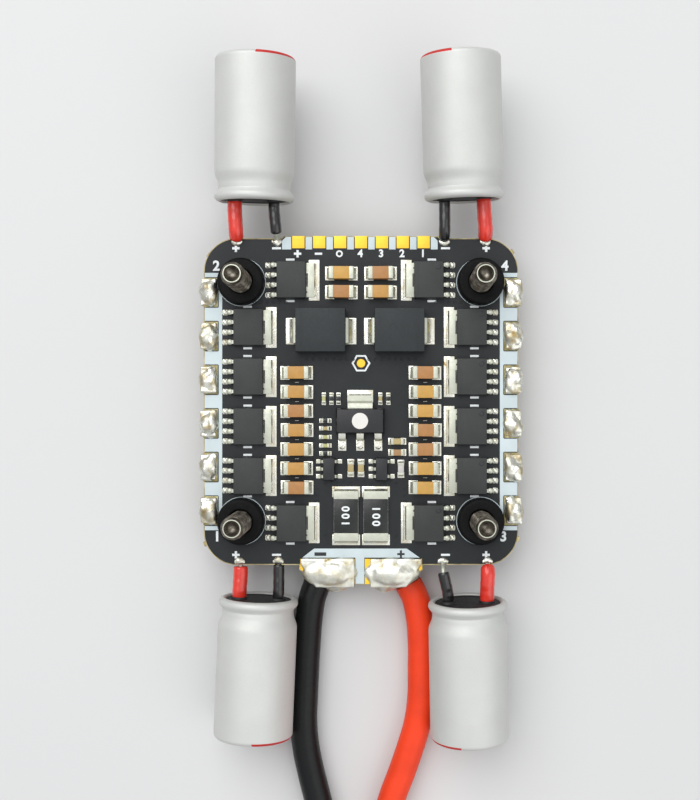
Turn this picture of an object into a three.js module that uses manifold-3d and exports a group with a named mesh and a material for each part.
// A four-in-one electronic speed controller for a small multirotor, in millimetres.
// Origin: on the surface it stands on, under the centre of its four mounting holes.
// +Z up, +Y towards the signal pads. The battery leads leave towards -Y.
import * as THREE from 'three';
import { mergeVertices } from 'three/addons/utils/BufferGeometryUtils.js';
import Module from 'manifold-3d';

const wasm = await Module();
wasm.setup();

// ---------------------------------------------------------------- driving dimensions

const BOARD = { halfX: 20.1, halfY: 20.9, corner: 4.2, bottom: 4.2, thick: 1.6 };
const BOARD_TOP = BOARD.bottom + BOARD.thick;
const BOARD_MIDDLE = BOARD.bottom + BOARD.thick / 2;
const BATTERY_TAB = { half: 7.9, tipHalf: 5.6, step: 0.6, reach: 2.5 };
const SIGNAL_EDGE = { half: 9.9, proud: 0.25, chamfer: 0.3 };
const HOLE = { half: 15.25, radius: 2.0 };

const GROMMET = { flange: 2.95, neck: 1.9, bore: 1.55, low: 1.65, high: 7.7, lip: 0.35 };
const SCREW = { radius: 1.5, headRadius: 2.85, headHigh: 1.65, length: 14.0, socket: 1.0, cup: 0.95 };

const CAN = { radius: 5.05, long: 17.9, wall: 0.3, neck: 4.55, mouth: 4.2 };
const BUNG = { radius: 4.1, face: 0.25, back: 3.0, winding: 4.35, windingStart: 4.5, windingEnd: 16.7 };
const NOTCH = { wide: 0.9, deep: 0.75 };
// x, mouthY and z are where the middle of the can's mouth is, mouthY counted outwards. lean is how
// many degrees the can turns about Z there, and tilt how many its far end is raised. notches are
// where its two leads meet the board.
const CAPACITORS = [
  { name: 'front_left', side: 1, x: -13.5, mouthY: 25.25, z: 6.9, lean: -1.1, tilt: 5.5,
    notches: { positive: -15.9, negative: -10.8 } },
  { name: 'front_right', side: 1, x: 13.1, mouthY: 25.5, z: 6.9, lean: 2.0, tilt: 6.0,
    notches: { positive: 15.85, negative: 10.65 } },
  { name: 'rear_left', side: -1, x: -13.15, mouthY: 25.1, z: 5.1, lean: -2.4, tilt: 0,
    notches: { positive: -15.5, negative: -10.6 } },
  { name: 'rear_right', side: -1, x: 13.6, mouthY: 25.35, z: 6.2, lean: 1.1, tilt: -3.4,
    notches: { positive: 16.15, negative: 10.5 } },
];
const LEAD = { spacing: 5.0, wire: 0.3, positive: 0.925, negative: 0.725, hole: 0.45 };
// How far a lead is straight on each side of its bung's face.
const LEAD_END = { beforeBung: 1.2, inBung: 1.0 };
// The start of a lead, as steps out from the board's edge and heights, and how much of it is bare.
const LEAD_START = {
  level: { points: [[-0.5, BOARD_MIDDLE], [0.3, BOARD_MIDDLE], [1.4, BOARD_MIDDLE]], bare: 0.7 },
  raised: { points: [[-0.42, 4.5], [-0.34, 5.2], [0.1, 6.05], [0.9, 6.6]], bare: 1.9 },
};
const LEAD_STEPS = { wire: 10, sleeve: 7 };

const FET = { leg: 1.4, bodyLong: 3.83, bodyWide: 4.77, high: 1.0, tab: 1.66, tabWide: 5.2 };
const FET_LEG = { wide: 0.65, pitch: 1.27, high: 0.25, count: 4 };
const FET_COLUMN = { x: 17.68, ys: [9.47, 3.17, -3.17, -9.47] };
const FET_CORNER = { x: 12.2, y: 15.5 };

const COPPER = 0.1;
const CERAMIC = { long: 3.3, wide: 1.6, high: 1.4, padLong: 4.18, linkWide: 0.6 };
const CERAMIC_COLUMN = { x: 8.2, first: 3.67, pitch: 2.44, count: 7 };
const CERAMIC_FRONT = { xs: [-2.5, 2.5], ys: [16.36, 13.96] };

const DIODE = { x: 5.1, y: 9.09, long: 6.4, wide: 5.6, high: 2.4, stand: 0.1 };
const DIODE_FOOT = { wide: 3.3, reach: 1.3, high: 0.3, riser: 0.25, riserHigh: 1.3 };
const SHUNT = { x: 1.9, y: -14.6, wide: 3.12, long: 6.36, high: 0.6, end: 1.04, endProud: 0.05 };
const REGULATOR = { x: -0.1, y: -2.48, wide: 6.2, deep: 3.3, high: 1.65, stand: 0.05 };
const REGULATOR_LEG = { wide: 0.75, tabWide: 3.0, pitch: 2.3, long: 1.9, high: 0.3 };
const CONTROLLER = { side: 5.0, high: 0.85, chamfer: 0.5, x: 4.6, y: 7.6 };

const MOTOR_PAD = { pitch: 5.58, perSide: 6, stripInner: 17.75, stripHalf: 16.45, stripHigh: 0.06 };
const MOTOR_BLOB = { x: 19.55, z: 5.6, rx: 1.3, ry: 1.8, rz: 1.25 };

const WIRE = { radius: 1.8, sides: 8, steps: 34, gap: 0.3, lie: 2.0 };
// The battery leads' centrelines, from the solder joint to the plug: they lie flat as far as
// y = -84, and then rise to the plug's contacts. Each point is x, y and the rise.
const RED_ROUTE = [
  [6.1, -23.8, 0], [7.0, -25.6, 0], [7.55, -28.0, 0], [7.85, -31.5, 0], [7.85, -35.0, 0],
  [7.8, -38.5, 0], [7.35, -42.0, 0], [6.4, -45.3, 0], [5.3, -48.5, 0], [4.1, -51.7, 0],
  [3.15, -55.2, 0], [2.7, -59.5, 0], [2.65, -65.0, 0], [3.1, -71.5, 0], [3.75, -78.0, 0],
  [4.2, -84.5, 0], [4.2, -91.0, 0.5], [3.9, -97.5, 1.2], [3.65, -104.0, 1.8],
  [3.6, -110.0, 2.1], [3.6, -116.0, 2.1],
];
const BLACK_ROUTE = [
  [-5.8, -23.8, 0], [-6.45, -25.6, 0], [-6.85, -28.0, 0], [-7.15, -31.5, 0], [-7.35, -35.0, 0],
  [-7.5, -38.5, 0], [-7.6, -42.0, 0], [-7.3, -45.3, 0], [-6.65, -48.5, 0], [-5.85, -51.7, 0],
  [-5.0, -55.2, 0], [-4.3, -59.5, 0], [-4.0, -65.0, 0], [-4.1, -71.5, 0], [-4.4, -78.0, 0],
  [-4.5, -84.5, 0], [-4.3, -91.0, 0.5], [-3.9, -97.5, 1.2], [-3.65, -104.0, 1.8],
  [-3.6, -110.0, 2.1], [-3.6, -116.0, 2.1],
];
const JOINT = { inner: 0.85, outer: 7.5, back: -20.3, corner: -21.7, front: -24.2, frontHalf: 5.7 };
const JOINT_SHOULDER = 0.7;
const JOINT_CROWN = 1.3;
const JOINT_FOOT = { inner: 2.2, outer: 6.0, back: -21.0, front: -23.9, bottom: 0.75 };

const PLUG = { y: -120.6, halfX: 7.9, high: 8.2, wall: 1.25, back: 5.2, shroud: 11.5, key: 2.2 };
const CONTACT = { x: 3.6, pin: 1.75, pinLong: 7.0, barrel: 2.0, slack: 0.08 };
const CUP = { radius: 2.25, long: 4.3, bore: 1.75, deep: 3.2 };

// How many flats stand for one turn of each round piece.
const FLATS = { can: 20, core: 16, grommet: 18, screw: 14, lead: 8, wire: 6, hole: 18, contact: 14 };

// ---------------------------------------------------------------- materials

const paint = (color, roughness, metalness = 0) =>
  new THREE.MeshStandardMaterial({ color, roughness, metalness });

const SOLDER_MASK = () => paint(0x1c1c1e, 0.6);
const RUBBER = () => paint(0x141414, 0.75);
const BLACK_STEEL = () => paint(0x4a423c, 0.4, 1);
const ALUMINIUM = () => paint(0xdcdcd8, 0.45, 0.8);
const MOULDING = () => paint(0x35363a, 0.65);
const SOLDER = () => paint(0xcfcdc4, 0.3, 0.9);
const CERAMIC_TAN = () => paint(0xb9824f, 0.5);
const RED_SILICONE = () => paint(0xd8301c, 0.55);
const BLACK_SILICONE = () => paint(0x1a1a1b, 0.5);
const GOLD = () => paint(0xd9a83a, 0.25, 1);
const YELLOW_NYLON = () => paint(0xe0b421, 0.55);

// ---------------------------------------------------------------- solids

function positionsOnly(geometry) {
  const bare = geometry.clone();
  bare.deleteAttribute('normal');
  bare.deleteAttribute('uv');
  return mergeVertices(bare, 1e-5);
}

function toSolid(geometry) {
  const merged = positionsOnly(geometry);
  const vertProperties = new Float32Array(merged.attributes.position.array);
  const triVerts = new Uint32Array(merged.index.array);
  return new wasm.Manifold(new wasm.Mesh({ numProp: 3, vertProperties, triVerts }));
}

function toGeometry(solid) {
  const mesh = solid.getMesh();
  const geometry = new THREE.BufferGeometry();
  geometry.setAttribute('position', new THREE.BufferAttribute(mesh.vertProperties, 3));
  geometry.setIndex(new THREE.BufferAttribute(mesh.triVerts, 1));
  geometry.computeVertexNormals();
  return geometry;
}

const join = (solids) => solids.reduce((whole, next) => whole.add(next));
const sorted = (a, b) => [Math.min(a, b), Math.max(a, b)];

// A box between two corners.
function block(x0, x1, y0, y1, z0, z1) {
  const geometry = new THREE.BoxGeometry(x1 - x0, y1 - y0, z1 - z0);
  geometry.translate((x0 + x1) / 2, (y0 + y1) / 2, (z0 + z1) / 2);
  return toSolid(geometry);
}

// An outline in the XY plane, extruded from z0 to z1.
function prism(shape, z0, z1, curveSegments = 6) {
  const geometry = new THREE.ExtrudeGeometry(shape, {
    depth: z1 - z0,
    bevelEnabled: false,
    curveSegments,
  });
  geometry.translate(0, 0, z0);
  return toSolid(geometry);
}

function polygon(points) {
  return new THREE.Shape(points.map(([x, y]) => new THREE.Vector2(x, y)));
}

// A profile of [radius, height] turned about Z.
function turned(profile, segments) {
  const points = profile.map(([r, h]) => new THREE.Vector2(r, h));
  const geometry = new THREE.LatheGeometry(points, segments);
  geometry.rotateX(Math.PI / 2);
  return geometry;
}

// The same about Y, for what lies on its side.
function turnedAlongY(profile, segments) {
  return new THREE.LatheGeometry(profile.map(([r, h]) => new THREE.Vector2(r, h)), segments);
}

function rod(radius, z0, z1, segments = FLATS.hole) {
  return toSolid(turned([[0, z0], [radius, z0], [radius, z1], [0, z1]], segments));
}

function ellipsoid(x, y, z, rx, ry, rz) {
  const geometry = new THREE.SphereGeometry(1, 8, 6);
  geometry.scale(rx, ry, rz);
  geometry.translate(x, y, z);
  return toSolid(geometry);
}

// ---------------------------------------------------------------- the scene graph

const controller = new THREE.Group();
controller.name = 'speed_controller';

function place(name, geometry, material, parent = controller) {
  const mesh = new THREE.Mesh(geometry, material);
  mesh.name = name;
  parent.add(mesh);
  return mesh;
}

const CORNERS = [
  { name: 'front_left', sx: -1, sy: 1 },
  { name: 'front_right', sx: 1, sy: 1 },
  { name: 'rear_left', sx: -1, sy: -1 },
  { name: 'rear_right', sx: 1, sy: -1 },
];

// ---------------------------------------------------------------- circuit board

function boardOutline() {
  const { halfX, halfY, corner } = BOARD;
  const signalY = halfY + SIGNAL_EDGE.proud;
  const tabStepY = -halfY - BATTERY_TAB.step;
  const tabTipY = -halfY - BATTERY_TAB.reach;
  const shape = new THREE.Shape();
  shape.moveTo(-halfX + corner, -halfY);
  shape.lineTo(-BATTERY_TAB.half, -halfY);
  shape.lineTo(-BATTERY_TAB.half, tabStepY);
  shape.lineTo(-BATTERY_TAB.tipHalf, tabTipY);
  shape.lineTo(BATTERY_TAB.tipHalf, tabTipY);
  shape.lineTo(BATTERY_TAB.half, tabStepY);
  shape.lineTo(BATTERY_TAB.half, -halfY);
  shape.lineTo(halfX - corner, -halfY);
  shape.absarc(halfX - corner, -halfY + corner, corner, -Math.PI / 2, 0, false);
  shape.absarc(halfX - corner, halfY - corner, corner, 0, Math.PI / 2, false);
  shape.lineTo(SIGNAL_EDGE.half + SIGNAL_EDGE.chamfer, halfY);
  shape.lineTo(SIGNAL_EDGE.half, signalY);
  shape.lineTo(-SIGNAL_EDGE.half, signalY);
  shape.lineTo(-SIGNAL_EDGE.half - SIGNAL_EDGE.chamfer, halfY);
  shape.absarc(-halfX + corner, halfY - corner, corner, Math.PI / 2, Math.PI, false);
  shape.absarc(-halfX + corner, -halfY + corner, corner, Math.PI, Math.PI * 1.5, false);
  return shape;
}

function circuitBoard() {
  let board = prism(boardOutline(), BOARD.bottom, BOARD_TOP);
  for (const { sx, sy } of CORNERS) {
    const hole = rod(HOLE.radius, BOARD.bottom - 1, BOARD_TOP + 1);
    board = board.subtract(hole.translate([sx * HOLE.half, sy * HOLE.half, 0]));
  }
  for (const capacitor of CAPACITORS) {
    const edge = capacitor.side * BOARD.halfY;
    const inner = edge - capacitor.side * NOTCH.deep;
    const outer = edge + capacitor.side;
    for (const x of Object.values(capacitor.notches)) {
      const halfWide = NOTCH.wide / 2;
      const [low, high] = [BOARD.bottom - 1, BOARD_TOP + 1];
      board = board.subtract(block(x - halfWide, x + halfWide, ...sorted(inner, outer), low, high));
    }
  }
  return board;
}

const boardSolid = circuitBoard();
place('circuit_board', toGeometry(boardSolid), SOLDER_MASK());

// ---------------------------------------------------------------- grommets and screws

function grommetGeometry() {
  const { flange, neck, bore, low, high, lip } = GROMMET;
  const bottom = BOARD.bottom;
  return turned([
    [bore, low],
    [flange - lip * 2, low],
    [flange, low + lip * 2],
    [flange, bottom - lip],
    [flange - lip, bottom],
    [neck, bottom],
    [neck, BOARD_TOP],
    [flange - lip, BOARD_TOP],
    [flange, BOARD_TOP + lip],
    [flange, high - lip],
    [flange - lip, high],
    [bore, high],
    [bore, low],
  ], FLATS.grommet);
}

function screwGeometry() {
  const { radius, headRadius, headHigh, length, socket, cup } = SCREW;
  const tip = headHigh + length;
  const shaft = radius - 0.08;
  const profile = [
    [0, headHigh * 0.55],
    [socket, headHigh * 0.55],
    [socket, 0],
    [headRadius * 0.62, 0],
    [headRadius, headHigh * 0.75],
    [headRadius, headHigh],
    [shaft, headHigh],
    [shaft, tip - 0.5],
    [cup + 0.15, tip],
    [cup, tip],
    [0, tip - 0.6],
  ];
  return turned(profile, FLATS.screw);
}

for (const { name, sx, sy } of CORNERS) {
  const grommet = place(`grommet_${name}`, grommetGeometry(), RUBBER());
  const screw = place(`mounting_screw_${name}`, screwGeometry(), BLACK_STEEL());
  grommet.position.set(sx * HOLE.half, sy * HOLE.half, 0);
  screw.position.set(sx * HOLE.half, sy * HOLE.half, 0);
}

// ---------------------------------------------------------------- reservoir capacitors
// Each is made with its axis along Y and its mouth at y = 0, and is turned about its mouth.

function canGeometry() {
  const { radius, long, wall, neck, mouth } = CAN;
  return turnedAlongY([
    [0, long - wall],
    [radius - wall, long - wall - 0.7],
    [radius - wall, 4.3],
    [mouth, 3.0],
    [mouth, 0.35],
    [mouth + 0.35, 0],
    [radius - 0.15, 0.3],
    [radius, 0.7],
    [radius - 0.1, 1.25],
    [neck, 1.65],
    [neck, 2.1],
    [radius, 3.5],
    [radius, long - 0.6],
    [radius - 0.6, long],
    [0, long],
  ], FLATS.can);
}

function coreGeometry() {
  const { radius, face, back, winding, windingStart, windingEnd } = BUNG;
  const profile = [
    [0, face],
    [radius, face],
    [radius, back],
    [1.6, back],
    [1.6, windingStart],
    [winding, windingStart],
    [winding, windingEnd],
    [0, windingEnd],
  ];
  let core = toSolid(turnedAlongY(profile, FLATS.core));
  for (const sx of [-1, 1]) {
    const hole = toSolid(turnedAlongY([
      [0, face - 1],
      [LEAD.hole, face - 1],
      [LEAD.hole, face + LEAD_END.inBung + 0.3],
      [0, face + LEAD_END.inBung + 0.3],
    ], FLATS.lead));
    core = core.subtract(hole.translate([sx * LEAD.spacing / 2, 0, 0]));
  }
  return toGeometry(core);
}

// A can that stands high enough for its leads' sleeves to clear the board has them come up out
// of the notches and bend over.
const leadStart = ({ z }) => (z - BOARD_MIDDLE > LEAD.positive ? LEAD_START.raised : LEAD_START.level);

// A lead's line, from its notch in the board to a point inside the bung.
function leadLine(capacitor, pole, turn) {
  const { side, x, mouthY, z, notches } = capacitor;
  const notchX = notches[pole];
  const across = Math.sign(notchX - x) * side * LEAD.spacing / 2;
  const mouth = new THREE.Vector3(x, side * mouthY, z);
  const start = leadStart(capacitor).points.map(([out, height]) => (
    new THREE.Vector3(notchX, side * (BOARD.halfY + out), height)
  ));
  const end = [-LEAD_END.beforeBung, 0, LEAD_END.inBung].map((offset) => (
    new THREE.Vector3(across, BUNG.face + offset, 0).applyEuler(turn).add(mouth)
  ));
  return new THREE.CatmullRomCurve3([...start, ...end]);
}

// A round bar along a stretch of a line, both ends of the stretch as shares of its length.
function barAlong(line, from, to, radius, sides, steps) {
  const share = (i) => from + (to - from) * i / steps;
  const points = Array.from({ length: steps + 1 }, (_, i) => line.getPointAt(share(i)));
  return toSolid(new THREE.ExtrudeGeometry(circle(radius, sides), {
    steps,
    extrudePath: new THREE.CatmullRomCurve3(points),
    bevelEnabled: false,
  }));
}

// The bare wire stands out of both ends of its sleeve, into the notch and the bung.
function leadGeometry(line, sleeve, bare) {
  const length = line.getLength();
  const sleeveEnd = 1 - (LEAD_END.inBung + WIRE.gap) / length;
  const wire = barAlong(line, 0, 1, LEAD.wire, FLATS.wire, LEAD_STEPS.wire);
  return toGeometry(wire.add(
    barAlong(line, bare / length, sleeveEnd, sleeve, FLATS.lead, LEAD_STEPS.sleeve),
  ));
}

for (const capacitor of CAPACITORS) {
  const { name, x, side, mouthY, z, lean, tilt } = capacitor;
  const heading = (side > 0 ? 0 : Math.PI) + THREE.MathUtils.degToRad(lean);
  const turn = new THREE.Euler(THREE.MathUtils.degToRad(tilt), 0, heading, 'ZYX');
  const body = new THREE.Group();
  body.position.set(x, side * mouthY, z);
  body.rotation.copy(turn);
  controller.add(body);
  place(`capacitor_can_${name}`, canGeometry(), ALUMINIUM(), body);
  place(`capacitor_core_${name}`, coreGeometry(), RUBBER(), body);
  for (const pole of ['positive', 'negative']) {
    const material = pole === 'positive' ? RED_SILICONE() : BLACK_SILICONE();
    const line = leadLine(capacitor, pole, turn);
    const geometry = leadGeometry(line, LEAD[pole], leadStart(capacitor).bare);
    place(`capacitor_${pole}_lead_${name}`, geometry, material);
  }
}

// ---------------------------------------------------------------- power transistors
// Made with its legs' tips at x = 0, its tab towards +X, and its foot at z = 0.

function transistorSolid() {
  const { leg, bodyLong, bodyWide, high, tab, tabWide } = FET;
  const bodyEnd = leg + bodyLong;
  const pieces = [
    block(leg, bodyEnd, -bodyWide / 2, bodyWide / 2, 0, high),
    block(bodyEnd - 0.5, bodyEnd + tab, -tabWide / 2, tabWide / 2, 0, FET_LEG.high),
  ];
  for (let i = 0; i < FET_LEG.count; i += 1) {
    const y = (i - (FET_LEG.count - 1) / 2) * FET_LEG.pitch;
    pieces.push(block(0, leg + 0.3, y - FET_LEG.wide / 2, y + FET_LEG.wide / 2, 0, FET_LEG.high));
  }
  return join(pieces);
}

const transistor = transistorSolid();

// Every place of a transistor on one side: side is -1 on the left, 1 on the right.
function transistorPlaces(side) {
  const sideName = side < 0 ? 'left' : 'right';
  const columnX = side * FET_COLUMN.x;
  const cornerX = side * FET_CORNER.x;
  return [
    ...FET_COLUMN.ys.map((y, i) => ({ name: `${sideName}_${i + 1}`, x: columnX, y })),
    { name: `front_${sideName}`, x: cornerX, y: FET_CORNER.y },
    { name: `rear_${sideName}`, x: cornerX, y: -FET_CORNER.y },
  ];
}

for (const side of [-1, 1]) {
  for (const { name, x, y } of transistorPlaces(side)) {
    const mesh = place(`transistor_${name}`, toGeometry(transistor), MOULDING());
    mesh.position.set(x, y, BOARD_TOP);
    mesh.rotation.z = side < 0 ? 0 : Math.PI;
  }
}

// The same six under each side, standing on one sheet of copper that joins them.
function undersideTransistors(side) {
  const bottom = BOARD.bottom;
  const film = bottom - COPPER;
  const hanging = transistor.rotate([180, 0, side < 0 ? 0 : 180]);
  const pieces = transistorPlaces(side).map(({ x, y }) => hanging.translate([x, y, bottom]));
  const sheetOuter = side * (FET_COLUMN.x - FET.leg - FET.bodyLong + 0.2);
  const sheetInner = side * (FET_CORNER.x - FET.leg - 1);
  const sheetHalf = FET_CORNER.y - 1;
  pieces.push(block(...sorted(sheetInner, sheetOuter), -sheetHalf, sheetHalf, film, bottom));
  return join(pieces);
}

for (const [name, side] of [['left', -1], ['right', 1]]) {
  place(`underside_transistors_${name}`, toGeometry(undersideTransistors(side)), MOULDING());
}

// ---------------------------------------------------------------- ceramic capacitors
// One bank is its capacitors, standing on the copper that joins them.

function ceramicBank(xs, ys) {
  const { long, wide, high, padLong } = CERAMIC;
  const film = BOARD_TOP + COPPER;
  const pieces = [];
  for (const x of xs) {
    for (const y of ys) {
      const [y0, y1] = [y - wide / 2, y + wide / 2];
      pieces.push(block(x - padLong / 2, x + padLong / 2, y0, y1, BOARD_TOP, film));
      pieces.push(block(x - long / 2, x + long / 2, y0, y1, BOARD_TOP, BOARD_TOP + high));
    }
  }
  const link = CERAMIC.linkWide / 2;
  const [x0, x1] = [Math.min(...xs) - link, Math.max(...xs) + link];
  pieces.push(block(x0, x1, Math.min(...ys), Math.max(...ys), BOARD_TOP, film));
  return join(pieces);
}

const { first, pitch, count } = CERAMIC_COLUMN;
const columnYs = Array.from({ length: count }, (_, i) => first - i * pitch);
const BANKS = [
  ['left', [-CERAMIC_COLUMN.x], columnYs],
  ['right', [CERAMIC_COLUMN.x], columnYs],
  ['front', CERAMIC_FRONT.xs, CERAMIC_FRONT.ys],
];
for (const [name, xs, ys] of BANKS) {
  place(`ceramic_capacitors_${name}`, toGeometry(ceramicBank(xs, ys)), CERAMIC_TAN());
}

// ---------------------------------------------------------------- diodes, shunts, regulator

function diodeSolid() {
  const { long, wide, high, stand } = DIODE;
  const { reach, riser, riserHigh } = DIODE_FOOT;
  const halfFoot = DIODE_FOOT.wide / 2;
  const pieces = [block(-long / 2, long / 2, -wide / 2, wide / 2, stand, high)];
  for (const side of [-1, 1]) {
    const near = side * (long / 2 - 0.5);
    const wall = side * (long / 2 + riser);
    const far = side * (long / 2 + reach);
    pieces.push(block(...sorted(near, far), -halfFoot, halfFoot, 0, DIODE_FOOT.high));
    pieces.push(block(...sorted(near, wall), -halfFoot, halfFoot, 0, riserHigh));
  }
  return join(pieces);
}

function shuntSolid() {
  const { wide, long, high, end, endProud } = SHUNT;
  const half = wide / 2;
  const pieces = [block(-half, half, -long / 2, long / 2, 0, high)];
  for (const [y0, y1] of [[-long / 2, -long / 2 + end], [long / 2 - end, long / 2]]) {
    pieces.push(block(-half - endProud, half + endProud, y0, y1, 0, high + endProud));
  }
  return join(pieces);
}

function regulatorSolid() {
  const { wide, deep, high, stand } = REGULATOR;
  const { tabWide, long } = REGULATOR_LEG;
  const legHigh = REGULATOR_LEG.high;
  const halfLeg = REGULATOR_LEG.wide / 2;
  const half = deep / 2;
  const pieces = [
    block(-wide / 2, wide / 2, -half, half, stand, high),
    block(-tabWide / 2, tabWide / 2, half - 0.5, half + long, 0, legHigh),
  ];
  for (const i of [-1, 0, 1]) {
    const x = i * REGULATOR_LEG.pitch;
    pieces.push(block(x - halfLeg, x + halfLeg, -half - long, -half + 0.5, 0, legHigh));
  }
  return join(pieces);
}

for (const [name, side] of [['left', -1], ['right', 1]]) {
  const diode = place(`surge_diode_${name}`, toGeometry(diodeSolid()), MOULDING());
  diode.position.set(side * DIODE.x, DIODE.y, BOARD_TOP);
  const shunt = place(`shunt_resistor_${name}`, toGeometry(shuntSolid()), MOULDING());
  shunt.position.set(side * SHUNT.x, SHUNT.y, BOARD_TOP);
}
place('voltage_regulator', toGeometry(regulatorSolid()), MOULDING())
  .position.set(REGULATOR.x, REGULATOR.y, BOARD_TOP);

// ---------------------------------------------------------------- motor controllers, underneath

function controllerGeometry() {
  const { side, high, chamfer } = CONTROLLER;
  const half = side / 2;
  const outline = polygon([
    [-half, -half], [half, -half], [half, half], [-half + chamfer, half], [-half, half - chamfer],
  ]);
  return toGeometry(prism(outline, -high, 0));
}

for (const { name, sx, sy } of CORNERS) {
  const chip = place(`motor_controller_${name}`, controllerGeometry(), MOULDING());
  chip.position.set(sx * CONTROLLER.x, sy * CONTROLLER.y, BOARD.bottom);
}

// ---------------------------------------------------------------- motor pads and their solder

function motorPads(side) {
  const { pitch, perSide, stripInner, stripHalf, stripHigh } = MOTOR_PAD;
  const [x0, x1] = sorted(side * stripInner, side * BOARD.halfX);
  let row = block(x0, x1, -stripHalf, stripHalf, BOARD_TOP, BOARD_TOP + stripHigh);
  for (const sy of [-1, 1]) {
    const room = rod(GROMMET.flange + 0.1, BOARD_TOP - 1, BOARD_TOP + 1);
    row = row.subtract(room.translate([side * HOLE.half, sy * HOLE.half, 0]));
  }
  for (let i = 0; i < perSide; i += 1) {
    const y = (i - (perSide - 1) / 2) * pitch;
    const { x, z, rx, ry, rz } = MOTOR_BLOB;
    row = row.add(ellipsoid(side * x, y, z, rx, ry, rz));
  }
  return row.subtract(boardSolid);
}

for (const [name, side] of [['left', -1], ['right', 1]]) {
  place(`motor_pads_${name}`, toGeometry(motorPads(side)), SOLDER());
}

// ---------------------------------------------------------------- battery leads

function route(points) {
  const path = points.map(([x, y, rise]) => new THREE.Vector3(x, y, WIRE.lie + rise));
  return new THREE.CatmullRomCurve3(path);
}

function circle(radius, sides) {
  const angles = Array.from({ length: sides }, (_, i) => (2 * Math.PI * i) / sides);
  return polygon(angles.map((angle) => [radius * Math.cos(angle), radius * Math.sin(angle)]));
}

function leadTube(path) {
  return new THREE.ExtrudeGeometry(circle(WIRE.radius, WIRE.sides), {
    steps: WIRE.steps,
    extrudePath: path,
    bevelEnabled: false,
  });
}

const redPath = route(RED_ROUTE);
const blackPath = route(BLACK_ROUTE);
place('battery_lead_red', leadTube(redPath), RED_SILICONE());
place('battery_lead_black', leadTube(blackPath), BLACK_SILICONE());

// ---------------------------------------------------------------- battery solder joints

// The room that the end of a lead needs, as a short rod along its first stretch.
function leadEndRoom(path) {
  const start = path.getPoint(0);
  const along = path.getTangent(0);
  const turn = THREE.MathUtils.radToDeg(Math.atan2(-along.x, along.y));
  const reach = 6;
  const body = toSolid(turnedAlongY([
    [0, -WIRE.gap],
    [WIRE.radius + WIRE.gap, -WIRE.gap],
    [WIRE.radius + WIRE.gap, reach],
    [0, reach],
  ], FLATS.hole));
  return body.rotate([0, 0, turn]).translate([start.x, start.y, start.z]);
}

// The solder covers its pad, wraps the board's edge and holds the conductor underneath.
function batteryJoint(side, path) {
  const { inner, outer, back, corner, front, frontHalf } = JOINT;
  const mirrored = (points) => polygon(points.map(([x, y]) => [side * x, y]));
  const outline = (inset) => mirrored([
    [inner + inset, back - inset], [outer - inset * 1.5, back - inset], [outer - inset * 1.5, corner],
    [frontHalf - inset, front + inset], [inner + inset, front + inset],
  ]);
  const foot = mirrored([
    [JOINT_FOOT.inner, JOINT_FOOT.back], [JOINT_FOOT.outer, JOINT_FOOT.back],
    [JOINT_FOOT.outer, JOINT_FOOT.front], [JOINT_FOOT.inner, JOINT_FOOT.front],
  ]);
  const lip = BOARD.bottom - 0.5;
  const solid = join([
    prism(outline(0), lip, BOARD_TOP + JOINT_SHOULDER),
    prism(outline(0.7), BOARD_TOP, BOARD_TOP + JOINT_CROWN),
    prism(foot, JOINT_FOOT.bottom, BOARD.bottom),
  ]);
  return solid.subtract(boardSolid).subtract(leadEndRoom(path));
}

place('battery_joint_positive', toGeometry(batteryJoint(1, redPath)), SOLDER());
place('battery_joint_negative', toGeometry(batteryJoint(-1, blackPath)), SOLDER());

// ---------------------------------------------------------------- battery plug
// Both pieces are made about the plug's own axis, pointing along +Z, with z = 0 at the
// housing's back face, and are then laid down to point along -Y.

function keyedOutline(halfX, halfHigh, key) {
  const round = 0.8;
  const shape = new THREE.Shape();
  shape.moveTo(-halfX + round, -halfHigh);
  shape.lineTo(halfX - key, -halfHigh);
  shape.lineTo(halfX, -halfHigh + key);
  shape.lineTo(halfX, halfHigh - key);
  shape.lineTo(halfX - key, halfHigh);
  shape.lineTo(-halfX + round, halfHigh);
  shape.lineTo(-halfX, halfHigh - round);
  shape.lineTo(-halfX, -halfHigh + round);
  return shape;
}

function plugHousing() {
  const { halfX, high, wall, back, shroud, key } = PLUG;
  const half = high / 2;
  const length = back + shroud;
  const inside = keyedOutline(halfX - wall, half - wall, key - 0.5);
  const grip = keyedOutline(halfX - 0.6, half, key);
  const outer = keyedOutline(halfX, half, key);
  let housing = join([prism(grip, 0, length), prism(outer, back * 0.6, length)]);
  housing = housing.subtract(prism(inside, back, length + 1));
  for (const sx of [-1, 1]) {
    const hole = rod(CONTACT.barrel + CONTACT.slack, -1, length, FLATS.contact);
    housing = housing.subtract(hole.translate([sx * CONTACT.x, 0, 0]));
  }
  return housing;
}

function contactSolid() {
  const { pin, pinLong, barrel } = CONTACT;
  const { back } = PLUG;
  return toGeometry(toSolid(turned([
    [0, CUP.deep - CUP.long],
    [CUP.bore, CUP.deep - CUP.long],
    [CUP.bore, -CUP.long],
    [CUP.radius, -CUP.long],
    [CUP.radius, -0.1],
    [barrel, -0.1],
    [barrel, back],
    [pin, back],
    [pin, back + pinLong - 0.5],
    [pin - 0.5, back + pinLong],
    [0, back + pinLong],
  ], FLATS.contact)));
}

const plug = new THREE.Group();
plug.position.set(0, PLUG.y, PLUG.high / 2);
plug.rotation.x = Math.PI / 2;
controller.add(plug);
place('plug_housing', toGeometry(plugHousing()), YELLOW_NYLON(), plug);
for (const [name, side] of [['positive', 1], ['negative', -1]]) {
  place(`plug_contact_${name}`, contactSolid(), GOLD(), plug).position.x = side * CONTACT.x;
}

export default controller;
